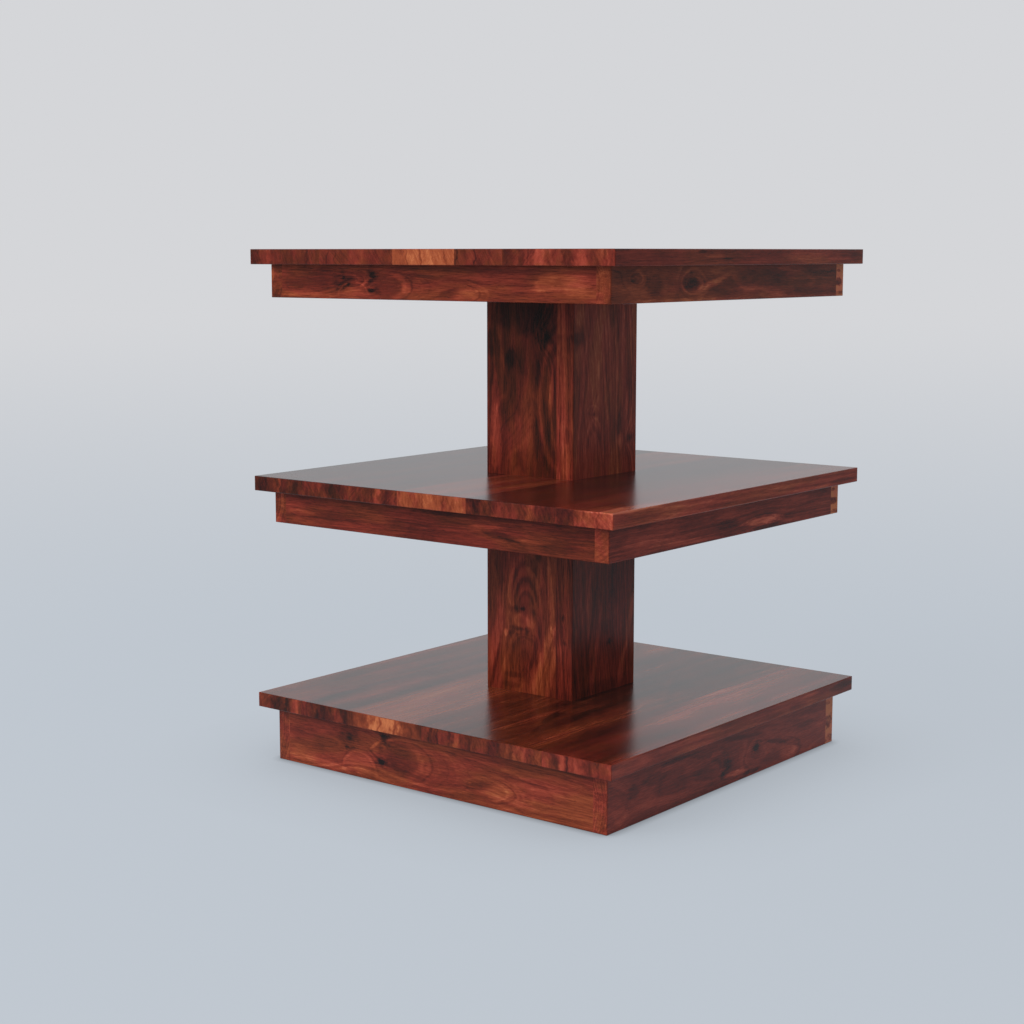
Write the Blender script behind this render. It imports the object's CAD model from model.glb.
# %% [markdown]
# This script dresses an open square nightstand: three framed trays on two hollow square columns.
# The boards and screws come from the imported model, which already has every size, so the work here is
# the wood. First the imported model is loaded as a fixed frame, and the size of its box is kept.

# %% Load the frame
import math
import random

import bmesh
import bpy
from mathutils import Euler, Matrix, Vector


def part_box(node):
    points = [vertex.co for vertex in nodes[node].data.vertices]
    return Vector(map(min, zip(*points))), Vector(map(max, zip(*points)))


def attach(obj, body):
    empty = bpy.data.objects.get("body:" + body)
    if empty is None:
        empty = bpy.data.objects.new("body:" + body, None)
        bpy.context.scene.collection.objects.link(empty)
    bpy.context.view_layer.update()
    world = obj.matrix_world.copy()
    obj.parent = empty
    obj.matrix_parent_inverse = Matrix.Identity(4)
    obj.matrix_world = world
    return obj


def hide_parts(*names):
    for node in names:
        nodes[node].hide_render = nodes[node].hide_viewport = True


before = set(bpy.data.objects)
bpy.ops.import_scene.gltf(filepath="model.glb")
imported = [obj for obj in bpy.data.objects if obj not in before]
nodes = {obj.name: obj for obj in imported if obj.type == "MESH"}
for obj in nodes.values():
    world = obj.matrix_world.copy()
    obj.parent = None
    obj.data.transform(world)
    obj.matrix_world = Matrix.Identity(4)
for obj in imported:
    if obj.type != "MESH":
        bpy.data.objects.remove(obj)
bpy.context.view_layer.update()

print("boards and fixings:", len(nodes))

# %% [markdown]
# The camera stands off the table's front right corner, level with its top, and looks a little down. A
# constraint could aim it at the table, but its place, turn and lens were worked out together from the
# table's own edges in the photograph, so they are set as they are. Places are in metres, angles in
# degrees, and the lens and the sensor in millimetres.

# %% Camera
CAMERA_PLACE = (1.1769, -1.5717, 0.5371)
CAMERA_TURN = 38.375
CAMERA_DIP = 7.986
LENS = 65.05
SENSOR = 36.0
FARTHEST_SEEN = 500.0

camera_data = bpy.data.cameras.new("camera")
camera_data.lens = LENS
camera_data.sensor_width = SENSOR
camera_data.clip_end = FARTHEST_SEEN
camera = bpy.data.objects.new("camera", camera_data)
camera.location = CAMERA_PLACE
camera.rotation_euler = Euler((math.radians(90 - CAMERA_DIP), 0, math.radians(CAMERA_TURN)))
bpy.context.scene.collection.objects.link(camera)
bpy.context.scene.camera = camera
print("camera to the table's middle, in metres:", round(math.hypot(*CAMERA_PLACE[:2]), 3))

# %% [markdown]
# Shaders, and later the shape of the screws, are built from nodes in code. They could be joined by hand
# in the editor, but a script can repeat them for every board. These helpers keep that short. The first
# adds a node and fills in its inputs, with plain values or with the outputs of other nodes. The other two
# each do one step of arithmetic, on numbers or on vectors.

# %% Helpers for single nodes
def add(tree, kind, inputs=None, **settings):
    """Adds a node, a shader node by its short name and any other kind by its full name.

    inputs maps an input's name or number to a value or to another node's output."""
    node = tree.nodes.new(kind if "Node" in kind else "ShaderNode" + kind)
    for name, value in settings.items():
        setattr(node, name, value)
    for key, value in (inputs or {}).items():
        if isinstance(value, bpy.types.NodeSocket):
            tree.links.new(value, node.inputs[key])
        else:
            node.inputs[key].default_value = value
    return node


def calc(tree, operation, *values):
    """The result of one Math node."""
    return add(tree, "Math", dict(enumerate(values)), operation=operation).outputs[0]


def vector_calc(tree, operation, *values):
    """The result of one Vector Math node, which is a number for a length or a dot product."""
    node = add(tree, "VectorMath", dict(enumerate(values)), operation=operation)
    return node.outputs["Value" if operation in ("LENGTH", "DOT_PRODUCT") else "Vector"]


print("kinds of shader node:", sum(kind.startswith("ShaderNode") for kind in dir(bpy.types)))

# %% [markdown]
# A node group is a small tree that other trees can use as one node. Here every output of a group is a
# number, and an input is a number or a vector, as its default value shows.

# %% Helpers for node groups
def start_group(name, inputs, outputs):
    """A new shader node group. inputs maps a socket's name to its default value."""
    tree = bpy.data.node_groups.new(name, "ShaderNodeTree")
    kinds = {float: "NodeSocketFloat", tuple: "NodeSocketVector"}
    for label, value in inputs.items():
        socket = tree.interface.new_socket(name=label, in_out="INPUT", socket_type=kinds[type(value)])
        socket.default_value = value
    for label in outputs:
        tree.interface.new_socket(name=label, in_out="OUTPUT", socket_type="NodeSocketFloat")
    return tree, tree.nodes.new("NodeGroupInput").outputs, tree.nodes.new("NodeGroupOutput").inputs


def use_group(tree, group, inputs):
    """Places a node group in a tree and returns its outputs."""
    return add(tree, "Group", inputs, node_tree=group).outputs


print("node groups so far:", len(bpy.data.node_groups))

# %% [markdown]
# A board shows straight lines where it was cut far from the middle of the tree, and tall arches where
# the cut comes near it. Both are the same growth rings, so one solid pattern makes them all: the distance
# to a line through the tree, the pith, which leans a little as the tree does. A Wave texture draws rings
# too, but they are all alike, and its centre can't be put where a board needs it. A slow wander keeps
# these from being perfect. Every pattern works in millimetres along, across and through the board.

# %% Growth rings
ORIGIN = (0.0, 0.0, 0.0)
MIDDLE_GREY = (0.5, 0.5, 0.5)
WANDER_STRETCH = (0.008, 0.022, 0.022)


def noise(tree, place, stretch, detail, roughness=0.5):
    """The outputs of a solid noise. stretch says how fast it changes along each axis."""
    stretched = vector_calc(tree, "MULTIPLY", place, stretch)
    return add(tree, "TexNoise", {"Vector": stretched, "Scale": 1.0, "Detail": detail,
                                  "Roughness": roughness}).outputs


def make_growth_rings():
    tree, given, out = start_group(
        "growth rings",
        {"Vector": ORIGIN, "Pith Across": 0.0, "Pith Depth": 40.0, "Pith Lean": 0.0, "Wander": 6.0},
        ["Ring"])
    swing = noise(tree, given["Vector"], WANDER_STRETCH, 2.0)["Color"]
    swing = vector_calc(tree, "SUBTRACT", swing, MIDDLE_GREY)
    swing = vector_calc(tree, "MULTIPLY", swing, given["Wander"])
    moved = add(tree, "SeparateXYZ", {0: vector_calc(tree, "ADD", given["Vector"], swing)}).outputs
    lean = calc(tree, "MULTIPLY", moved["X"], given["Pith Lean"])
    across = calc(tree, "SUBTRACT", moved["Y"], given["Pith Across"])
    depth = calc(tree, "ADD", calc(tree, "ADD", moved["Z"], given["Pith Depth"]), lean)
    both = add(tree, "CombineXYZ", {"X": across, "Y": depth}).outputs[0]
    tree.links.new(vector_calc(tree, "LENGTH", both), out["Ring"])
    return tree


growth_rings = make_growth_rings()
print(growth_rings.name, "takes", len(growth_rings.nodes), "nodes")

# %% [markdown]
# Where a branch grew or the trunk swelled, the rings bulge, and the cut face shows nested ovals. This
# group pushes the rings outwards round one place, so that the bands and lines of the wood bend there by
# themselves and needn't be drawn. The middle of a knot, where the branch itself was cut, is nearly black,
# so the group also puts out a mask of it. A ragged noise roughens the mask's edge.

# %% Swirls and knots
OVAL = {"Vector": ORIGIN, "Ragged": 0.5, "Centre": ORIGIN, "Size": (30.0, 12.0, 400.0)}
BULGE_FALL = -0.5
KNOT_RAGGEDNESS = 3.0
KNOT_FADE = (2.7, 1.3)


def smooth(tree, value, low, high, start=0.0, end=1.0):
    """value from low to high, eased into start to end."""
    node = add(tree, "MapRange", {"Value": value, "From Min": low, "From Max": high,
                                  "To Min": start, "To Max": end}, interpolation_type="SMOOTHSTEP")
    return node.outputs["Result"]


def from_centre(tree, given):
    """The way from an oval's centre to a point, in shares of the oval's size."""
    away = vector_calc(tree, "SUBTRACT", given["Vector"], given["Centre"])
    return vector_calc(tree, "DIVIDE", away, given["Size"])


def make_swirl():
    tree, given, out = start_group("swirl", {"Ring": 0.0, **OVAL, "Push": 8.0}, ["Ring", "Core"])
    distance = vector_calc(tree, "LENGTH", from_centre(tree, given))
    fall = calc(tree, "MULTIPLY", calc(tree, "MULTIPLY", distance, distance), BULGE_FALL)
    bulge = calc(tree, "POWER", math.e, fall)
    tree.links.new(calc(tree, "MULTIPLY_ADD", bulge, given["Push"], given["Ring"]), out["Ring"])
    edge = calc(tree, "MULTIPLY_ADD", given["Ragged"], KNOT_RAGGEDNESS, distance)
    tree.links.new(smooth(tree, edge, *KNOT_FADE), out["Core"])
    return tree


swirl = make_swirl()
print(swirl.name, "takes", len(swirl.nodes), "nodes")

# %% [markdown]
# Lighter and darker stretches in a board have soft edges that run out along the grain. A noise alone
# would put them anywhere, and these have to lie where the real boards have them, so each is placed. The
# patch group raises or lowers the tone inside an oval that may lean across the grain.

# %% Lighter and darker patches
PATCH_RAGGEDNESS = 1.4
PATCH_FADE = (1.3, 0.6)


def make_patch():
    tree, given, out = start_group(
        "tone patch", {"Tone": 0.0, **OVAL, "Lean": 0.0, "Amount": 0.1}, ["Tone"])
    away = vector_calc(tree, "SUBTRACT", given["Vector"], given["Centre"])
    away = add(tree, "SeparateXYZ", {0: away}).outputs
    drift = calc(tree, "MULTIPLY", away["X"], given["Lean"])
    straight = add(tree, "CombineXYZ", {"X": away["X"], "Y": calc(tree, "SUBTRACT", away["Y"], drift),
                                        "Z": away["Z"]}).outputs[0]
    distance = vector_calc(tree, "LENGTH", vector_calc(tree, "DIVIDE", straight, given["Size"]))
    ragged = calc(tree, "MULTIPLY_ADD", given["Ragged"], PATCH_RAGGEDNESS, -PATCH_RAGGEDNESS / 2)
    inside = smooth(tree, calc(tree, "ADD", distance, ragged), *PATCH_FADE)
    tree.links.new(calc(tree, "MULTIPLY_ADD", inside, given["Amount"], given["Tone"]), out["Tone"])
    return tree


patch = make_patch()
print(patch.name, "takes", len(patch.nodes), "nodes")

# %% [markdown]
# Where rings bend round a swirl they show as a bright or dark arc, often on one side only. Which rings
# are bright there is chance in the noise, so the clearest arcs are laid over it. The arc group changes
# the tone along the rim of an oval, on the side that Facing points to.

# %% Arcs
ARC_RAGGEDNESS = 0.24
RIM_FADE = (1.0, 0.2)
FACING_FADE = (-0.1, 0.7)


def make_arc():
    tree, given, out = start_group(
        "arc", {"Tone": 0.0, **OVAL, "Facing": (1.0, 0.0, 0.0), "Rim": 0.1, "Amount": 0.1}, ["Tone"])
    away = from_centre(tree, given)
    distance = vector_calc(tree, "LENGTH", away)
    distance = calc(tree, "MULTIPLY_ADD", given["Ragged"], ARC_RAGGEDNESS, distance)
    off = calc(tree, "ABSOLUTE", calc(tree, "SUBTRACT", distance, 1.0 + ARC_RAGGEDNESS / 2))
    rim = smooth(tree, calc(tree, "DIVIDE", off, given["Rim"]), *RIM_FADE)
    side = smooth(tree, vector_calc(tree, "DOT_PRODUCT", away, given["Facing"]), *FACING_FADE)
    shown = calc(tree, "MULTIPLY", rim, side)
    tree.links.new(calc(tree, "MULTIPLY_ADD", shown, given["Amount"], given["Tone"]), out["Tone"])
    return tree


arc = make_arc()
print(arc.name, "takes", len(arc.nodes), "nodes")

# %% [markdown]
# Sheesham is a red-brown hardwood with dark streaks along its rings. One noise can't be broad and fine
# at once, so its tone is added up from broad bands and fine lines that follow the rings, short streaks of
# fibre along the board, and slow clouds. Thin dark pores lie in the fibre. The group puts out the tone,
# the slow change between redder and more orange wood, and the fibre as a height for the faint relief
# under the lacquer.

# %% Wood tone
WOOD_ROUGHNESS = 0.6
FIBRE_STRETCH = (0.06, 0.8, 0.8)
CLOUD_STRETCH = (0.010, 0.035, 0.035)
PORE_STRETCH = (0.16, 2.1, 2.1)
WARMTH_STRETCH = (0.012, 0.05, 0.05)
BAND_SCALE = 0.06
LINE_SCALE = 0.42
PORE_FADE = (0.56, 0.72)
WARMTH_FADE = (0.35, 0.65)
PORE_DEPTH = 0.5


def make_wood_tone():
    tree, given, out = start_group(
        "wood tone",
        {"Vector": ORIGIN, "Ring": 0.0, "Bands": 0.45, "Lines": 0.6, "Fibre": 0.75, "Clouds": 0.7,
         "Pores": 0.16},
        ["Tone", "Warmth", "Fibre"])

    def ring_noise(scale, detail):
        return add(tree, "TexNoise", {"W": given["Ring"], "Scale": scale, "Detail": detail,
                                      "Roughness": WOOD_ROUGHNESS}, noise_dimensions="1D").outputs["Fac"]

    def solid_noise(stretch, detail):
        return noise(tree, given["Vector"], stretch, detail, WOOD_ROUGHNESS)["Fac"]

    fibre = solid_noise(FIBRE_STRETCH, 5.0)
    parts = {"Bands": ring_noise(BAND_SCALE, 1.0), "Lines": ring_noise(LINE_SCALE, 3.0),
             "Fibre": fibre, "Clouds": solid_noise(CLOUD_STRETCH, 2.0)}
    tone = 0.0
    for label, part in parts.items():
        tone = calc(tree, "MULTIPLY_ADD", calc(tree, "SUBTRACT", part, 0.5), given[label], tone)
    pores = smooth(tree, solid_noise(PORE_STRETCH, 1.0), *PORE_FADE)
    tone = calc(tree, "SUBTRACT", tone, calc(tree, "MULTIPLY", pores, given["Pores"]))
    tree.links.new(tone, out["Tone"])
    sunk = calc(tree, "MULTIPLY", pores, PORE_DEPTH)
    tree.links.new(calc(tree, "SUBTRACT", fibre, sunk), out["Fibre"])
    tree.links.new(smooth(tree, solid_noise(WARMTH_STRETCH, 2.0), *WARMTH_FADE), out["Warmth"])
    return tree


wood_tone = make_wood_tone()
print(wood_tone.name, "takes", len(wood_tone.nodes), "nodes")

# %% [markdown]
# Each board takes its pattern from where it stands. An unwrapped board would show a seam at every edge,
# and here the wood runs on from its faces into its sawn ends. A seed moves the pattern, so that no two
# boards are cut from the same piece of the tree.

# %% Places on a board
DIRECTIONS = {"X": (1.0, 0.0, 0.0), "Y": (0.0, 1.0, 0.0), "Z": (0.0, 0.0, 1.0)}
MM_PER_METRE = 1000.0
SEED_STEP = (211.0, 97.0, 53.0)
THROUGH = 400.0
END_FADE = (0.6, 0.9)


def object_place(tree):
    """Where a point lies in its object's own frame, in metres."""
    return add(tree, "TexCoord").outputs["Object"]


def board_vector(tree, order, depth):
    """Object coordinates in millimetres along, across and through a board whose middle is at depth."""
    place = vector_calc(tree, "MULTIPLY", object_place(tree), (MM_PER_METRE,) * 3)
    split = add(tree, "SeparateXYZ", {0: place}).outputs
    along, across, through = (split[letter] for letter in order)
    through = calc(tree, "SUBTRACT", through, depth * MM_PER_METRE)
    return add(tree, "CombineXYZ", {"X": along, "Y": across, "Z": through}).outputs[0]


def end_mask(tree, order):
    """1 on the sawn ends of a board and 0 on its faces."""
    normal = add(tree, "TexCoord").outputs["Normal"]
    facing = vector_calc(tree, "DOT_PRODUCT", normal, DIRECTIONS[order[0]])
    return smooth(tree, calc(tree, "ABSOLUTE", facing), *END_FADE)


def oval(along, across, length, width, middle=0.0, thick=THROUGH):
    """The place and the size of a swirl, a knot, a patch or an arc, as inputs of its group."""
    return {"Centre": (along, across, middle), "Size": (length, width, thick)}


print("a spot of 10 by 4 mm:", oval(0.0, 0.0, 10.0, 4.0))

# %% [markdown]
# A board's figure is a dictionary. seed, tone and warmth set its own piece of wood, how light it is and
# how orange. pith is where the middle of the tree lay: across the board, how deep behind it, and how much
# it leans. wander is how far the rings stray in millimetres, wave is how far the patches sway, ragged is
# the stretch and detail of the noise on their edges, and weights changes the parts of the wood tone.
# Swirls, knots, patches and arcs are lists of ovals in the table's own millimetres, first along the grain
# and then across it, followed by the oval's length and width:
#
# - a swirl or a knot goes on with its push
# - a patch goes on with its amount and, where it has one, its lean
# - a knot or a patch may end with its middle and thickness through the board, to show on one face only
# - an arc goes on with the side that it faces, the width of its rim and its amount
#
# The cell below uses them to bend the rings and to change the tone.

# %% Bend the rings and change the tone
WAVE_STRETCH = (0.006, 0.03, 0.13)
USUAL_WANDER = 16.0


def bent_rings(tree, figure, shift, moved, here):
    """The rings of a board, bent by its swirls and knots, and the mask of the knots' dark cores."""
    across, through, lean = figure["pith"]
    ring = use_group(tree, growth_rings, {
        "Vector": moved, "Pith Across": across + shift[1], "Pith Depth": through - shift[2],
        "Pith Lean": lean, "Wander": figure.get("wander", USUAL_WANDER)})["Ring"]
    dark = 0.0
    for kind in ("swirls", "knots"):
        for along, across, length, width, push, *deep in figure.get(kind, ()):
            bent = use_group(tree, swirl, {"Ring": ring, **here, "Push": push,
                                           **oval(along, across, length, width, *deep)})
            ring = bent["Ring"]
            if kind == "knots":
                dark = calc(tree, "MAXIMUM", bent["Core"], dark)
    return ring, dark


def figured_tone(tree, figure, level, moved, here, end):
    """The tone of a board after its patches, end streaks and arcs. The patches run in slow waves."""
    wave = calc(tree, "SUBTRACT", noise(tree, moved, WAVE_STRETCH, 1.0)["Fac"], 0.5)
    wave = calc(tree, "MULTIPLY", wave, figure.get("wave", 0.0))
    sideways = add(tree, "CombineXYZ", {"Y": wave}).outputs[0]
    wavy = {**here, "Vector": vector_calc(tree, "ADD", here["Vector"], sideways)}
    for along, across, length, width, amount, *rest in figure.get("patches", ()):
        lean, *deep = rest or (0.0,)
        level = use_group(tree, patch, {"Tone": level, **wavy, "Lean": lean, "Amount": amount,
                                        **oval(along, across, length, width, *deep)})["Tone"]
    for across, width, amount in figure.get("end_streaks", ()):
        level = use_group(tree, patch, {"Tone": level, **wavy, **oval(0.0, across, THROUGH, width),
                                        "Amount": calc(tree, "MULTIPLY", end, amount)})["Tone"]
    for along, across, length, width, facing, rim, amount in figure.get("arcs", ()):
        level = use_group(tree, arc, {"Tone": level, **here, **oval(along, across, length, width),
                                      "Facing": (*facing, 0.0), "Rim": rim, "Amount": amount})["Tone"]
    return level


print("node groups that a board can use:", [group.name for group in bpy.data.node_groups])

# %% [markdown]
# A sawn end drinks more lacquer, so it has a tone, contrast, mottle and warmth of its own, and its streaks
# are given as across, width and amount. The finished tone picks a colour from a ramp, and the warmth
# tints that redder or more orange. A ramp between two colours would look like paint, because real wood
# gets more orange as it gets lighter, so the ramps further down have more.

# %% Sawn ends and colours
MOTTLE_STRETCH = (0.04, 0.26, 0.10)
MOTTLE_ROUGHNESS = 0.55
USUAL_END_TONE = 0.05
USUAL_END_MOTTLE = 0.5


def end_grain(tree, figure, level, moved, end):
    """The tone of a board after its sawn ends have been raised and mottled."""
    level = calc(tree, "MULTIPLY_ADD", end, figure.get("end_tone", USUAL_END_TONE), level)
    spots = noise(tree, moved, MOTTLE_STRETCH, 2.0, MOTTLE_ROUGHNESS)["Fac"]
    mottle = calc(tree, "MULTIPLY", calc(tree, "SUBTRACT", spots, 0.5), end)
    return calc(tree, "MULTIPLY_ADD", mottle, figure.get("end_mottle", USUAL_END_MOTTLE), level)


def mix_colours(tree, factor, first, second, **settings):
    node = add(tree, "Mix", {"Factor": factor, "A": first, "B": second}, data_type="RGBA", **settings)
    return node.outputs["Result"]


def ramp_colour(tree, level, ramp_stops):
    ramp = add(tree, "ValToRGB", {"Fac": level})
    stops = ramp.color_ramp.elements
    while len(stops) < len(ramp_stops):
        stops.new(1.0)
    for stop, (position, colour) in zip(stops, ramp_stops):
        stop.position = position
        stop.color = (*colour, 1.0)
    return ramp.outputs["Color"]


print("a sawn end's usual tone and mottle:", USUAL_END_TONE, USUAL_END_MOTTLE)

# %% [markdown]
# The next function puts all of that together into the wood of one board. The gloss of the lacquer is
# faint seen from the front and strong at a grazing angle, which a low IOR gives. A panel's top is polished
# more than the rest, so a figure may give it a second coat, the top coat.

# %% A board of wood
RAGGED = ((0.08, 0.2, 0.2), 4.0)
RAGGED_ROUGHNESS = 0.65
KNOT_DARKNESS = -0.3
RED_TINT = (1.05, 0.84, 1.04, 1.0)
ORANGE_TINT = (0.98, 1.08, 0.88, 1.0)
RELIEF_STRENGTH = 0.06
RELIEF_HEIGHT = 0.0003
UPWARD_FADE = (0.5, 0.9)


def new_material(name):
    """A material without nodes, and its tree."""
    material = bpy.data.materials.new(name)
    material.use_nodes = True
    material.node_tree.nodes.clear()
    return material, material.node_tree


def board_wood(name, order, depth, figure, ramp_stops, roughness, ior):
    material, tree = new_material(name)
    place = board_vector(tree, order, depth)
    shift = tuple(figure["seed"] * step for step in SEED_STEP)
    moved = vector_calc(tree, "ADD", place, shift)
    ragged = noise(tree, moved, *figure.get("ragged", RAGGED), RAGGED_ROUGHNESS)["Fac"]
    here = {"Vector": place, "Ragged": ragged}
    ring, dark = bent_rings(tree, figure, shift, moved, here)
    wood = use_group(tree, wood_tone, {"Vector": moved, "Ring": ring, **figure.get("weights", {})})
    end = end_mask(tree, order)
    contrast = calc(tree, "MULTIPLY_ADD", end, figure.get("end_contrast", 0.0), 1.0)
    level = calc(tree, "MULTIPLY_ADD", wood["Tone"], contrast, figure["tone"])
    level = figured_tone(tree, figure, level, moved, here, end)
    level = end_grain(tree, figure, level, moved, end)
    level = calc(tree, "MULTIPLY_ADD", dark, KNOT_DARKNESS, level)
    warmth = calc(tree, "ADD", wood["Warmth"], figure.get("warmth", 0.0))
    warmth = calc(tree, "MULTIPLY_ADD", end, figure.get("end_warmth", 0.0), warmth)
    colour = mix_colours(tree, 1.0, ramp_colour(tree, level, ramp_stops),
                         mix_colours(tree, warmth, RED_TINT, ORANGE_TINT), blend_type="MULTIPLY")
    relief = add(tree, "Bump", {"Strength": RELIEF_STRENGTH, "Distance": RELIEF_HEIGHT,
                                "Height": wood["Fibre"]})
    surface = add(tree, "BsdfPrincipled", {"Base Color": colour, "Roughness": roughness, "IOR": ior,
                                           "Normal": relief.outputs["Normal"]})
    if "top_coat" in figure:
        upward = add(tree, "SeparateXYZ", {0: add(tree, "TexCoord").outputs["Normal"]}).outputs["Z"]
        surface.inputs["Coat Roughness"].default_value = roughness
        coat = smooth(tree, upward, *UPWARD_FADE, 0.0, figure["top_coat"])
        tree.links.new(coat, surface.inputs["Coat Weight"])
    add(tree, "OutputMaterial", {"Surface": surface.outputs[0]})
    return material


print("relief of the fibre, in mm:", round(RELIEF_STRENGTH * RELIEF_HEIGHT * MM_PER_METRE, 3))

# %% [markdown]
# These are the figures of the boards that the photograph shows. Chance alone would give likely wood, but
# not this table's, so what stands out on each board is listed. First come the front aprons.

# %% Figures of the front aprons
UP, DOWN = (1.0, 0.0), (-1.0, 0.0)
TO_HIGH, TO_LOW = (0.0, 1.0), (0.0, -1.0)
FIGURES = {}
FIGURES["base_front_apron"] = {
    "seed": 1.0, "tone": 0.585, "pith": (28.0, 26.0, 0.02), "wander": 8.0, "warmth": 0.1,
    "weights": {"Bands": 0.22, "Lines": 0.38, "Clouds": 0.45, "Fibre": 0.6},
    "swirls": [(-40, 28, 34, 14, 6), (62, 18, 40, 12, 5), (-100, 4, 26, 14, 8)],
    "knots": [
        (-64, 46, 11, 9, 3), (-69, 38, 6, 6, 0), (-67, 21.5, 13, 5, 2), (-111, 40, 6, 5, 2),
        (-116, 29, 4, 3, 2)],
    "patches": [
        (-38, 29, 30, 18, -0.12), (-44, 30, 18, 12, -0.05), (-9, 27, 7, 10, 0.12),
        (60, 19, 15, 6, -0.13, 0.25), (90, 17, 22, 10, 0.12), (-150, 36, 60, 18, -0.1),
        (-113, 41, 14, 12, -0.12), (-160, 7, 50, 4, 0.18, -0.05), (-98, 15, 20, 10, 0.14),
        (-60, 7, 60, 4, 0.1), (130, 33, 70, 2, -0.1, -0.06), (60, 42, 90, 2, -0.1, -0.12),
        (160, 30, 60, 4, 0.08, 0.02), (160, 15, 50, 3, 0.06), (20, 48, 70, 4, 0.06, -0.06),
        (-75, 39, 8, 2, 0.2, 0.7), (-75, 26, 9, 1.8, -0.18, -0.6), (130, 50, 100, 4, -0.05),
        (-64, 46.5, 5, 4, -0.22), (-67, 21.8, 6, 2.2, -0.2)],
    "arcs": [
        (-38, 29, 24, 17, UP, 0.26, 0.13), (-36, 28, 37, 21, UP, 0.07, -0.1),
        (-34, 28, 44, 22, UP, 0.06, 0.05), (-30, 27, 52, 24, UP, 0.05, -0.06),
        (-26, 27, 61, 25, UP, 0.05, 0.05), (-20, 26, 70, 27, UP, 0.04, -0.06),
        (66, 18, 40, 13, UP, 0.07, -0.16), (64, 18, 33, 11, UP, 0.1, 0.08),
        (68, 17, 50, 17, UP, 0.08, 0.08), (20, 22, 84, 24, UP, 0.04, -0.06),
        (30, 22, 100, 27, UP, 0.04, 0.05), (40, 22, 112, 28, UP, 0.03, -0.05),
        (-98, 3, 24, 24, TO_HIGH, 0.1, 0.12), (-98, 3, 27, 28, TO_HIGH, 0.05, -0.08)]}
FIGURES["top_front_apron"] = {
    "seed": 1.0, "tone": 0.5, "pith": (506.0, 22.0, 0.02), "wander": 8.0, "warmth": 0.1,
    "weights": {"Bands": 0.25, "Lines": 0.42, "Clouds": 0.45, "Fibre": 0.6},
    "swirls": [(-51, 505, 24, 9, 8), (26, 499, 28, 8, 6), (-102, 493, 20, 9, 7)],
    "knots": [
        (-73, 515.5, 9, 7, 3), (-75, 509, 5, 5, 0), (-76, 499.5, 13, 3.6, 2), (-112, 513, 3, 3, 1),
        (-106, 506, 3, 2.6, 1), (-113, 502, 4, 2, 1)],
    "patches": [
        (-50, 506, 26, 12, -0.09), (-29, 503, 6, 7, 0.12), (26, 498, 13, 4.4, -0.14, 0.2),
        (50, 497, 18, 6, 0.12), (160, 509, 30, 12, 0.1), (178, 507, 17, 9, 0.12),
        (-113, 510, 15, 9, -0.12), (140, 508, 14, 8, 0.1, 0.3), (-156, 510, 50, 12, -0.12),
        (-172, 495, 40, 3, 0.16), (60, 520, 120, 3, -0.12, -0.02), (110, 503, 60, 3, 0.1, 0.02),
        (-84, 507, 7, 1.8, 0.16, 0.6), (-98, 497, 16, 6, 0.12), (10, 513, 70, 2, -0.1, -0.08),
        (90, 511, 50, 2, 0.06, -0.06), (-73, 515, 4, 3, -0.18), (-75, 499.8, 5.5, 1.6, -0.2)],
    "arcs": [
        (-52, 504, 21, 12, UP, 0.24, 0.12), (-52, 504, 31, 15, UP, 0.07, -0.11),
        (-48, 503, 40, 16, UP, 0.06, 0.05), (-46, 503, 48, 17, UP, 0.05, -0.05),
        (30, 498, 34, 10, UP, 0.08, -0.14), (32, 497, 42, 13, UP, 0.08, 0.08),
        (-99, 492, 21, 16, TO_HIGH, 0.08, 0.16), (-99, 492, 25, 19, TO_HIGH, 0.05, -0.08),
        (120, 512, 46, 12, TO_HIGH, 0.06, -0.05)]}
FIGURES["middle_front_apron"] = {
    "seed": 5.0, "tone": 0.44, "pith": (330.0, 18.0, 0.01), "wander": 9.0, "warmth": -0.1,
    "weights": {"Bands": 0.25, "Lines": 0.3, "Clouds": 0.5, "Fibre": 0.55},
    "swirls": [(-182, 272, 18, 6, 5), (92, 270, 30, 6, 6)],
    "patches": [
        (-174, 270, 24, 3.4, 0.16), (-150, 262, 50, 4, 0.1), (-188, 285, 22, 3, -0.1),
        (-160, 277, 50, 2, 0.08), (88, 270, 22, 3.5, -0.2, -0.1), (106, 264, 14, 3, -0.12, -0.2),
        (69, 277, 20, 1.8, 0.16, 0.05), (128, 268, 22, 1.6, 0.14), (-20, 268, 40, 6, -0.05),
        (60, 286, 90, 3, -0.14), (160, 264, 24, 5, -0.08), (40, 272, 40, 3, 0.06)]}
print("figures so far:", len(FIGURES))

# %% [markdown]
# The right aprons have the largest knots. At their far end the back apron's own sawn end shows, pale and
# banded. Its figure follows with that of the left aprons, which show only their sawn front ends.

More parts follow.
